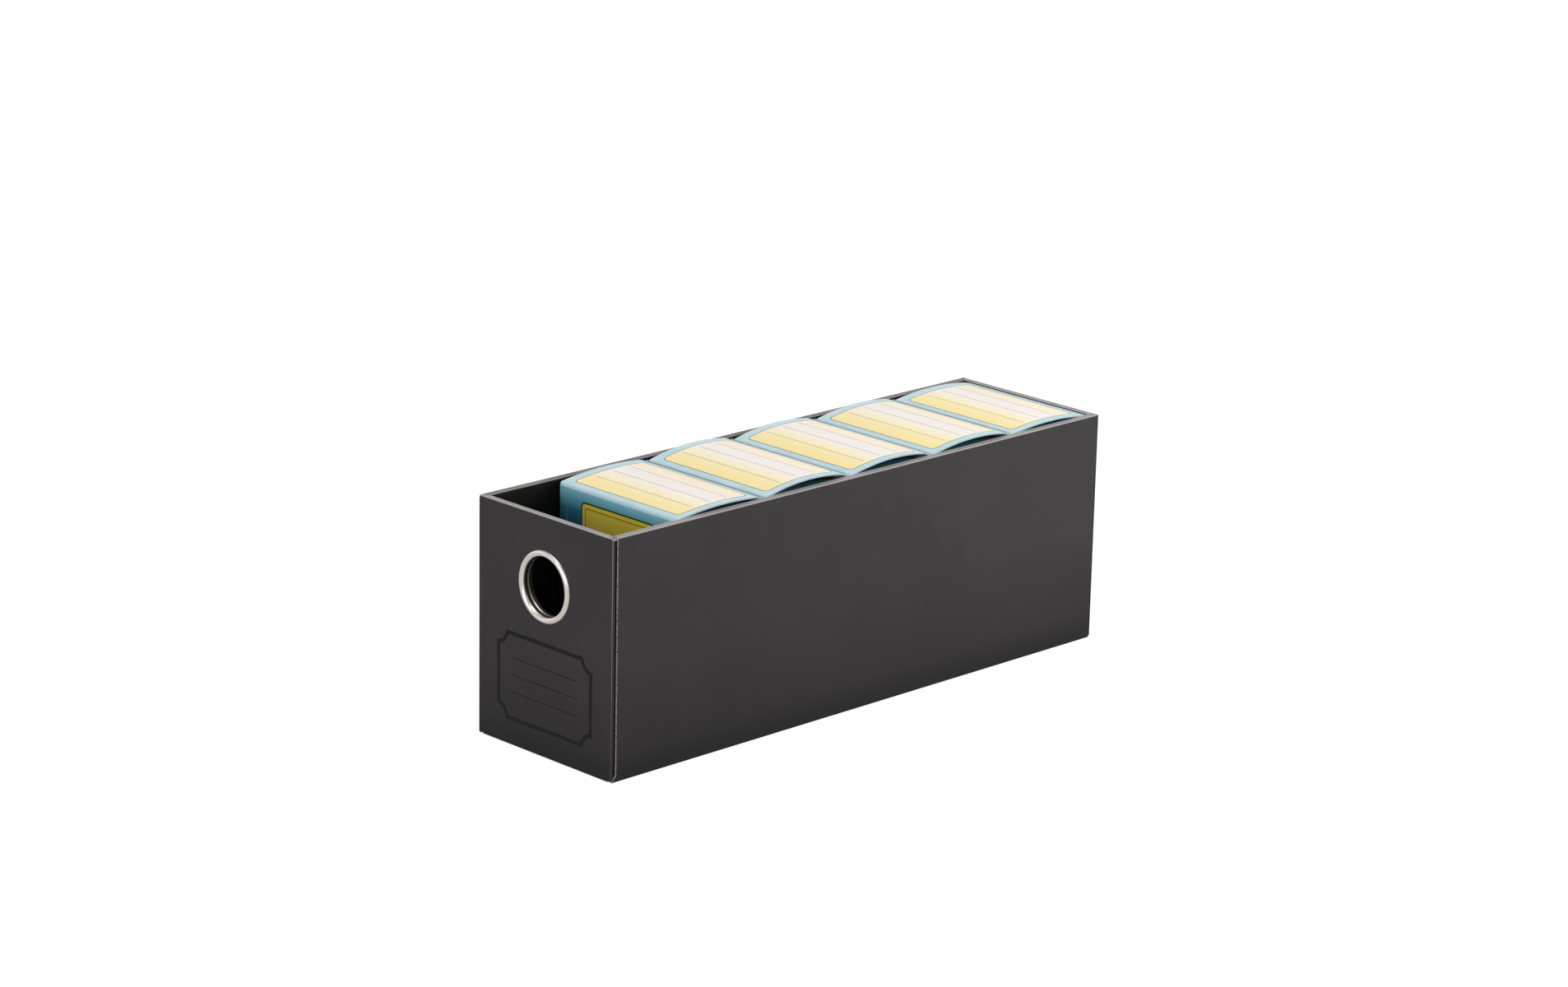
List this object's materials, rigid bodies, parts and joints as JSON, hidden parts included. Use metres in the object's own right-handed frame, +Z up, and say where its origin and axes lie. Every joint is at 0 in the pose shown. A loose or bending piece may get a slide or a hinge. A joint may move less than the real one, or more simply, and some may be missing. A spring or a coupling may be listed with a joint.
{
  "type": "trading card storage drawer",
  "caption": "Long open-topped drawer of folded black board with a metal finger ring, holding a row of tuck-top card cartons with arched, hinged lids.",
  "frame": {"origin": "middle of the tray's footprint, on the surface that it stands on", "axes": "+Z up, +Y from the finger ring to the rear, +X to the right seen from the front"},
  "size_m": [0.083, 0.2912, 0.1065],
  "materials": {
    "tray_board": "black film-laminated board with a satin sheen and raw white cut edges",
    "ring_metal": "bright nickel-plated steel, pressed and rolled",
    "carton_card": "thin printed carton card, teal with a cream writing panel",
    "sleeved_cards": "playing cards in clear film sleeves, seen on edge"
  },
  "bodies": {
    "tray": {"bottom_panel": "tray_board", "floor_liner": "tray_board", "right_wall": "tray_board", "left_wall": "tray_board", "front_wall": "tray_board", "rear_wall": "tray_board", "front_right_corner_flap": "tray_board", "front_left_corner_flap": "tray_board", "rear_right_corner_flap": "tray_board", "rear_left_corner_flap": "tray_board", "finger_ring": "ring_metal", "finger_ring_washer": "ring_metal"},
    "carton_1": {"carton_1_body": "carton_card", "carton_1_card_stack": "sleeved_cards"},
    "carton_1_lid_panel": {"carton_1_lid": "carton_card"},
    "carton_1_left_flap": {"carton_1_left_dust_flap": "carton_card"},
    "carton_1_right_flap": {"carton_1_right_dust_flap": "carton_card"},
    "carton_2": {"carton_2_body": "carton_card", "carton_2_card_stack": "sleeved_cards"},
    "carton_2_lid_panel": {"carton_2_lid": "carton_card"},
    "carton_2_left_flap": {"carton_2_left_dust_flap": "carton_card"},
    "carton_2_right_flap": {"carton_2_right_dust_flap": "carton_card"},
    "carton_3": {"carton_3_body": "carton_card", "carton_3_card_stack": "sleeved_cards"},
    "carton_3_lid_panel": {"carton_3_lid": "carton_card"},
    "carton_3_left_flap": {"carton_3_left_dust_flap": "carton_card"},
    "carton_3_right_flap": {"carton_3_right_dust_flap": "carton_card"},
    "carton_4": {"carton_4_body": "carton_card", "carton_4_card_stack": "sleeved_cards"},
    "carton_4_lid_panel": {"carton_4_lid": "carton_card"},
    "carton_4_left_flap": {"carton_4_left_dust_flap": "carton_card"},
    "carton_4_right_flap": {"carton_4_right_dust_flap": "carton_card"},
    "carton_5": {"carton_5_body": "carton_card", "carton_5_card_stack": "sleeved_cards"},
    "carton_5_lid_panel": {"carton_5_lid": "carton_card"},
    "carton_5_left_flap": {"carton_5_left_dust_flap": "carton_card"},
    "carton_5_right_flap": {"carton_5_right_dust_flap": "carton_card"}
  },
  "joints": [
    {"name": "carton_1_lift", "type": "slide", "parent": "tray", "child": "carton_1", "axis": [0, 0, 1], "range_m": [0, 0.105]},
    {"name": "carton_1_lid_hinge", "type": "hinge", "parent": "carton_1", "child": "carton_1_lid_panel", "pos_m": [0.00135, -0.0578, 0.1034], "axis": [-1, 0, 0], "range_deg": [0, 95]},
    {"name": "carton_1_left_flap_hinge", "type": "hinge", "parent": "carton_1", "child": "carton_1_left_flap", "pos_m": [-0.03435, -0.0824, 0.10325], "axis": [0, -1, 0], "range_deg": [0, 86]},
    {"name": "carton_1_right_flap_hinge", "type": "hinge", "parent": "carton_1", "child": "carton_1_right_flap", "pos_m": [0.03705, -0.0824, 0.10325], "axis": [0, 1, 0], "range_deg": [0, 86]},
    {"name": "carton_2_lift", "type": "slide", "parent": "tray", "child": "carton_2", "axis": [0, 0, 1], "range_m": [0, 0.105]},
    {"name": "carton_2_lid_hinge", "type": "hinge", "parent": "carton_2", "child": "carton_2_lid_panel", "pos_m": [0.00135, -0.008, 0.1034], "axis": [-1, 0, 0], "range_deg": [0, 95]},
    {"name": "carton_2_left_flap_hinge", "type": "hinge", "parent": "carton_2", "child": "carton_2_left_flap", "pos_m": [-0.03435, -0.0326, 0.10325], "axis": [0, -1, 0], "range_deg": [0, 86]},
    {"name": "carton_2_right_flap_hinge", "type": "hinge", "parent": "carton_2", "child": "carton_2_right_flap", "pos_m": [0.03705, -0.0326, 0.10325], "axis": [0, 1, 0], "range_deg": [0, 86]},
    {"name": "carton_3_lift", "type": "slide", "parent": "tray", "child": "carton_3", "axis": [0, 0, 1], "range_m": [0, 0.105]},
    {"name": "carton_3_lid_hinge", "type": "hinge", "parent": "carton_3", "child": "carton_3_lid_panel", "pos_m": [0.00135, 0.0418, 0.1034], "axis": [-1, 0, 0], "range_deg": [0, 95]},
    {"name": "carton_3_left_flap_hinge", "type": "hinge", "parent": "carton_3", "child": "carton_3_left_flap", "pos_m": [-0.03435, 0.0172, 0.10325], "axis": [0, -1, 0], "range_deg": [0, 86]},
    {"name": "carton_3_right_flap_hinge", "type": "hinge", "parent": "carton_3", "child": "carton_3_right_flap", "pos_m": [0.03705, 0.0172, 0.10325], "axis": [0, 1, 0], "range_deg": [0, 86]},
    {"name": "carton_4_lift", "type": "slide", "parent": "tray", "child": "carton_4", "axis": [0, 0, 1], "range_m": [0, 0.105]},
    {"name": "carton_4_lid_hinge", "type": "hinge", "parent": "carton_4", "child": "carton_4_lid_panel", "pos_m": [0.00135, 0.0916, 0.1034], "axis": [-1, 0, 0], "range_deg": [0, 95]},
    {"name": "carton_4_left_flap_hinge", "type": "hinge", "parent": "carton_4", "child": "carton_4_left_flap", "pos_m": [-0.03435, 0.067, 0.10325], "axis": [0, -1, 0], "range_deg": [0, 86]},
    {"name": "carton_4_right_flap_hinge", "type": "hinge", "parent": "carton_4", "child": "carton_4_right_flap", "pos_m": [0.03705, 0.067, 0.10325], "axis": [0, 1, 0], "range_deg": [0, 86]},
    {"name": "carton_5_lift", "type": "slide", "parent": "tray", "child": "carton_5", "axis": [0, 0, 1], "range_m": [0, 0.105]},
    {"name": "carton_5_lid_hinge", "type": "hinge", "parent": "carton_5", "child": "carton_5_lid_panel", "pos_m": [0.00135, 0.1414, 0.1034], "axis": [-1, 0, 0], "range_deg": [0, 95]},
    {"name": "carton_5_left_flap_hinge", "type": "hinge", "parent": "carton_5", "child": "carton_5_left_flap", "pos_m": [-0.03435, 0.1168, 0.10325], "axis": [0, -1, 0], "range_deg": [0, 86]},
    {"name": "carton_5_right_flap_hinge", "type": "hinge", "parent": "carton_5", "child": "carton_5_right_flap", "pos_m": [0.03705, 0.1168, 0.10325], "axis": [0, 1, 0], "range_deg": [0, 86]}
  ],
  "couplings": [
    {"joint": "carton_1_left_flap_hinge", "follows": "carton_1_lid_hinge", "ratio": 0.9},
    {"joint": "carton_1_right_flap_hinge", "follows": "carton_1_lid_hinge", "ratio": 0.9},
    {"joint": "carton_2_left_flap_hinge", "follows": "carton_2_lid_hinge", "ratio": 0.9},
    {"joint": "carton_2_right_flap_hinge", "follows": "carton_2_lid_hinge", "ratio": 0.9},
    {"joint": "carton_3_left_flap_hinge", "follows": "carton_3_lid_hinge", "ratio": 0.9},
    {"joint": "carton_3_right_flap_hinge", "follows": "carton_3_lid_hinge", "ratio": 0.9},
    {"joint": "carton_4_left_flap_hinge", "follows": "carton_4_lid_hinge", "ratio": 0.9},
    {"joint": "carton_4_right_flap_hinge", "follows": "carton_4_lid_hinge", "ratio": 0.9},
    {"joint": "carton_5_left_flap_hinge", "follows": "carton_5_lid_hinge", "ratio": 0.9},
    {"joint": "carton_5_right_flap_hinge", "follows": "carton_5_lid_hinge", "ratio": 0.9}
  ]
}
